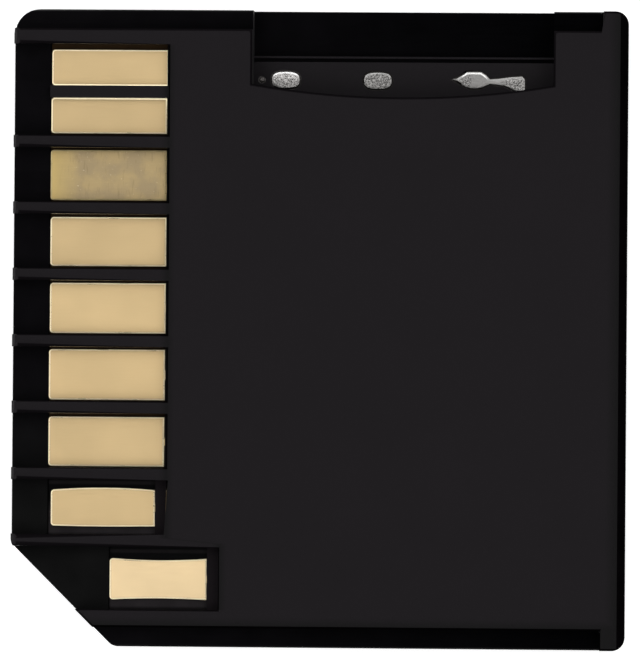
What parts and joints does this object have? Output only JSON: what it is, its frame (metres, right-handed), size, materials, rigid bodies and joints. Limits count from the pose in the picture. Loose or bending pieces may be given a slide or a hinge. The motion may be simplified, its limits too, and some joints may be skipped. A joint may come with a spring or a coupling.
{
  "type": "memory card adapter",
  "caption": "Short full-size memory card body that takes a smaller card through its side and carries its contacts to stamped gold pads.",
  "frame": {"origin": "centre of the bounding box in X and Y, on the plane of the label face that it rests on", "axes": "+Z out of the contact face, +Y towards the slot's mouth, +X from the contact edge to the rear edge"},
  "size_m": [0.0232, 0.024, 0.0021],
  "materials": {
    "contact_side_plastic": "black, fine moulded texture on the face and polished in the channels",
    "label_side_plastic": "black, fine moulded texture",
    "carrier_plastic": "black, smooth",
    "spring_steel": "bright, grainy",
    "gold_plating": "gold plating, satin",
    "worn_plating": "gold plating, scratched and dull",
    "pale_plating": "thin pale gold plating"
  },
  "bodies": {
    "root": {"contact_shell": "contact_side_plastic", "label_shell": "label_side_plastic", "lead_carrier": "carrier_plastic", "grip_strip": "spring_steel", "lead_ground": "worn_plating", "lead_2": "gold_plating", "lead_4": "gold_plating", "lead_5": "gold_plating", "lead_7": "gold_plating", "lead_8": "gold_plating", "lead_1": "pale_plating", "lead_9": "pale_plating"}
  },
  "joints": []
}
